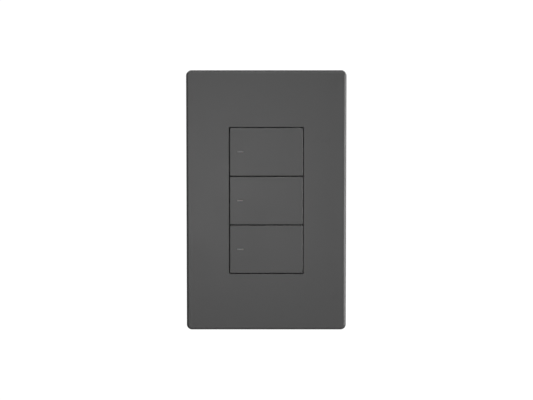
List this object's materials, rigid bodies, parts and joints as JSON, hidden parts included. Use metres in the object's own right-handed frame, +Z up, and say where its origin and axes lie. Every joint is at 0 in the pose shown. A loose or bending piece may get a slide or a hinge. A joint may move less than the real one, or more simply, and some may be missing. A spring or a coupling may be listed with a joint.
{
  "type": "push-button wall plate",
  "caption": "Wall control with stacked push buttons and light bars behind a push-on screwless cover plate, with mounting yoke, rear electronics housing and screw terminals.",
  "frame": {"origin": "centre of the middle button's front face; the wall plane, on which the yoke's ears and the cover's rim bear, is at y = +8.2 mm", "axes": "+Z up the wall, along the long side; +Y into the wall, so the front faces -Y; +X to the right as seen from the front"},
  "size_m": [0.0728, 0.041, 0.1186],
  "materials": {
    "charcoal_matte": "fine matte texture",
    "milky_lens": "translucent, unlit",
    "dark_frame": "plain moulded",
    "dark_housing": "plain moulded",
    "black_block": "semi-gloss",
    "zinc_steel": "zinc plated",
    "nickel_steel": "nickel plated",
    "green_steel": "green passivated",
    "brass": "rolled",
    "fibre": "pressed fibre",
    "board_green": "solder mask",
    "black_plunger": "moulded",
    "lamp_white": "cast resin",
    "relay_blue": "moulded",
    "winding_yellow": "tape wrap",
    "sleeve_dark": "shrink sleeve",
    "disc_blue": "dipped lacquer",
    "resistor_brown": "dipped lacquer"
  },
  "bodies": {
    "device": {"sub_plate": "dark_frame", "key_frame": "dark_frame", "rear_housing": "dark_housing", "terminal_block": "black_block", "board_header": "black_block", "yoke": "zinc_steel", "sub_plate_screw_top": "zinc_steel", "sub_plate_screw_bottom": "zinc_steel", "chassis_screw_upper_right": "zinc_steel", "chassis_screw_upper_left": "zinc_steel", "chassis_screw_lower_left": "zinc_steel", "chassis_screw_lower_right": "zinc_steel", "radio_module": "zinc_steel", "switch_body_top": "zinc_steel", "switch_body_middle": "zinc_steel", "switch_body_bottom": "zinc_steel", "earth_screw": "green_steel", "control_board": "board_green", "power_board": "board_green", "indicator_led_top": "lamp_white", "indicator_led_middle": "lamp_white", "indicator_led_bottom": "lamp_white", "relay_1": "relay_blue", "relay_2": "relay_blue", "relay_3": "relay_blue", "transformer": "winding_yellow", "smoothing_capacitor": "sleeve_dark", "surge_varistor": "disc_blue", "fusible_resistor": "resistor_brown", "contact_bar_1": "brass", "contact_bar_2": "brass", "contact_bar_3": "brass", "contact_bar_4": "brass", "contact_bar_5": "brass"},
    "cover": {"cover_plate": "charcoal_matte"},
    "key_top": {"button_top": "charcoal_matte", "light_pipe_top": "milky_lens"},
    "plunger_top": {"switch_plunger_top": "black_plunger"},
    "key_middle": {"button_middle": "charcoal_matte", "light_pipe_middle": "milky_lens"},
    "plunger_middle": {"switch_plunger_middle": "black_plunger"},
    "key_bottom": {"button_bottom": "charcoal_matte", "light_pipe_bottom": "milky_lens"},
    "plunger_bottom": {"switch_plunger_bottom": "black_plunger"},
    "retainer_top": {"screw_retainer_top": "fibre"},
    "device_screw_top": {"mounting_screw_top": "zinc_steel"},
    "retainer_bottom": {"screw_retainer_bottom": "fibre"},
    "device_screw_bottom": {"mounting_screw_bottom": "zinc_steel"},
    "clamp_1": {"terminal_clamp_1": "nickel_steel"},
    "clamp_screw_1": {"terminal_screw_1": "nickel_steel"},
    "clamp_2": {"terminal_clamp_2": "nickel_steel"},
    "clamp_screw_2": {"terminal_screw_2": "nickel_steel"},
    "clamp_3": {"terminal_clamp_3": "nickel_steel"},
    "clamp_screw_3": {"terminal_screw_3": "nickel_steel"},
    "clamp_4": {"terminal_clamp_4": "nickel_steel"},
    "clamp_screw_4": {"terminal_screw_4": "nickel_steel"},
    "clamp_5": {"terminal_clamp_5": "nickel_steel"},
    "clamp_screw_5": {"terminal_screw_5": "nickel_steel"}
  },
  "joints": [
    {"name": "cover_release", "type": "slide", "parent": "device", "child": "cover", "axis": [0, -1, 0], "range_m": [0, 0.03]},
    {"name": "button_press_top", "type": "hinge", "parent": "device", "child": "key_top", "pos_m": [0, 0.0046, 0.0299], "axis": [1, 0, 0], "range_deg": [0, 2.5], "stiffness_Nm_per_rad": 0.002, "springref_deg": -3.44},
    {"name": "plunger_travel_top", "type": "slide", "parent": "device", "child": "plunger_top", "axis": [0, 1, 0], "range_m": [0, 0.0004]},
    {"name": "button_press_middle", "type": "hinge", "parent": "device", "child": "key_middle", "pos_m": [0, 0.0046, 0.0077], "axis": [1, 0, 0], "range_deg": [0, 2.5], "stiffness_Nm_per_rad": 0.002, "springref_deg": -3.44},
    {"name": "plunger_travel_middle", "type": "slide", "parent": "device", "child": "plunger_middle", "axis": [0, 1, 0], "range_m": [0, 0.0004]},
    {"name": "button_press_bottom", "type": "hinge", "parent": "device", "child": "key_bottom", "pos_m": [0, 0.0046, -0.0145], "axis": [1, 0, 0], "range_deg": [0, 2.5], "stiffness_Nm_per_rad": 0.002, "springref_deg": -3.44},
    {"name": "plunger_travel_bottom", "type": "slide", "parent": "device", "child": "plunger_bottom", "axis": [0, 1, 0], "range_m": [0, 0.0004]},
    {"name": "levelling_top", "type": "slide", "parent": "device", "child": "retainer_top", "axis": [1, 0, 0], "range_m": [-0.0022, 0.0022]},
    {"name": "mounting_screw_spin_top", "type": "hinge", "parent": "retainer_top", "child": "device_screw_top", "pos_m": [0, 0.0082, 0.04165], "axis": [0, 1, 0], "continuous": true},
    {"name": "levelling_bottom", "type": "slide", "parent": "device", "child": "retainer_bottom", "axis": [1, 0, 0], "range_m": [-0.0022, 0.0022]},
    {"name": "mounting_screw_spin_bottom", "type": "hinge", "parent": "retainer_bottom", "child": "device_screw_bottom", "pos_m": [0, 0.0082, -0.04165], "axis": [0, 1, 0], "continuous": true},
    {"name": "terminal_clamp_travel_1", "type": "slide", "parent": "device", "child": "clamp_1", "axis": [0, -1, 0], "range_m": [0, 0.002]},
    {"name": "terminal_screw_turn_1", "type": "hinge", "parent": "clamp_1", "child": "clamp_screw_1", "pos_m": [-0.01524, 0.03275, -0.0276], "axis": [0, -1, 0], "range_deg": [0, 1440]},
    {"name": "terminal_clamp_travel_2", "type": "slide", "parent": "device", "child": "clamp_2", "axis": [0, -1, 0], "range_m": [0, 0.002]},
    {"name": "terminal_screw_turn_2", "type": "hinge", "parent": "clamp_2", "child": "clamp_screw_2", "pos_m": [-0.00762, 0.03275, -0.0276], "axis": [0, -1, 0], "range_deg": [0, 1440]},
    {"name": "terminal_clamp_travel_3", "type": "slide", "parent": "device", "child": "clamp_3", "axis": [0, -1, 0], "range_m": [0, 0.002]},
    {"name": "terminal_screw_turn_3", "type": "hinge", "parent": "clamp_3", "child": "clamp_screw_3", "pos_m": [0, 0.03275, -0.0276], "axis": [0, -1, 0], "range_deg": [0, 1440]},
    {"name": "terminal_clamp_travel_4", "type": "slide", "parent": "device", "child": "clamp_4", "axis": [0, -1, 0], "range_m": [0, 0.002]},
    {"name": "terminal_screw_turn_4", "type": "hinge", "parent": "clamp_4", "child": "clamp_screw_4", "pos_m": [0.00762, 0.03275, -0.0276], "axis": [0, -1, 0], "range_deg": [0, 1440]},
    {"name": "terminal_clamp_travel_5", "type": "slide", "parent": "device", "child": "clamp_5", "axis": [0, -1, 0], "range_m": [0, 0.002]},
    {"name": "terminal_screw_turn_5", "type": "hinge", "parent": "clamp_5", "child": "clamp_screw_5", "pos_m": [0.01524, 0.03275, -0.0276], "axis": [0, -1, 0], "range_deg": [0, 1440]}
  ],
  "couplings": [
    {"joint": "plunger_travel_top", "follows": "button_press_top", "m_per_rad": 0.0077},
    {"joint": "plunger_travel_middle", "follows": "button_press_middle", "m_per_rad": 0.0077},
    {"joint": "plunger_travel_bottom", "follows": "button_press_bottom", "m_per_rad": 0.0077},
    {"joint": "terminal_screw_turn_1", "follows": "terminal_clamp_travel_1", "rad_per_m": 12566},
    {"joint": "terminal_screw_turn_2", "follows": "terminal_clamp_travel_2", "rad_per_m": 12566},
    {"joint": "terminal_screw_turn_3", "follows": "terminal_clamp_travel_3", "rad_per_m": 12566},
    {"joint": "terminal_screw_turn_4", "follows": "terminal_clamp_travel_4", "rad_per_m": 12566},
    {"joint": "terminal_screw_turn_5", "follows": "terminal_clamp_travel_5", "rad_per_m": 12566}
  ]
}
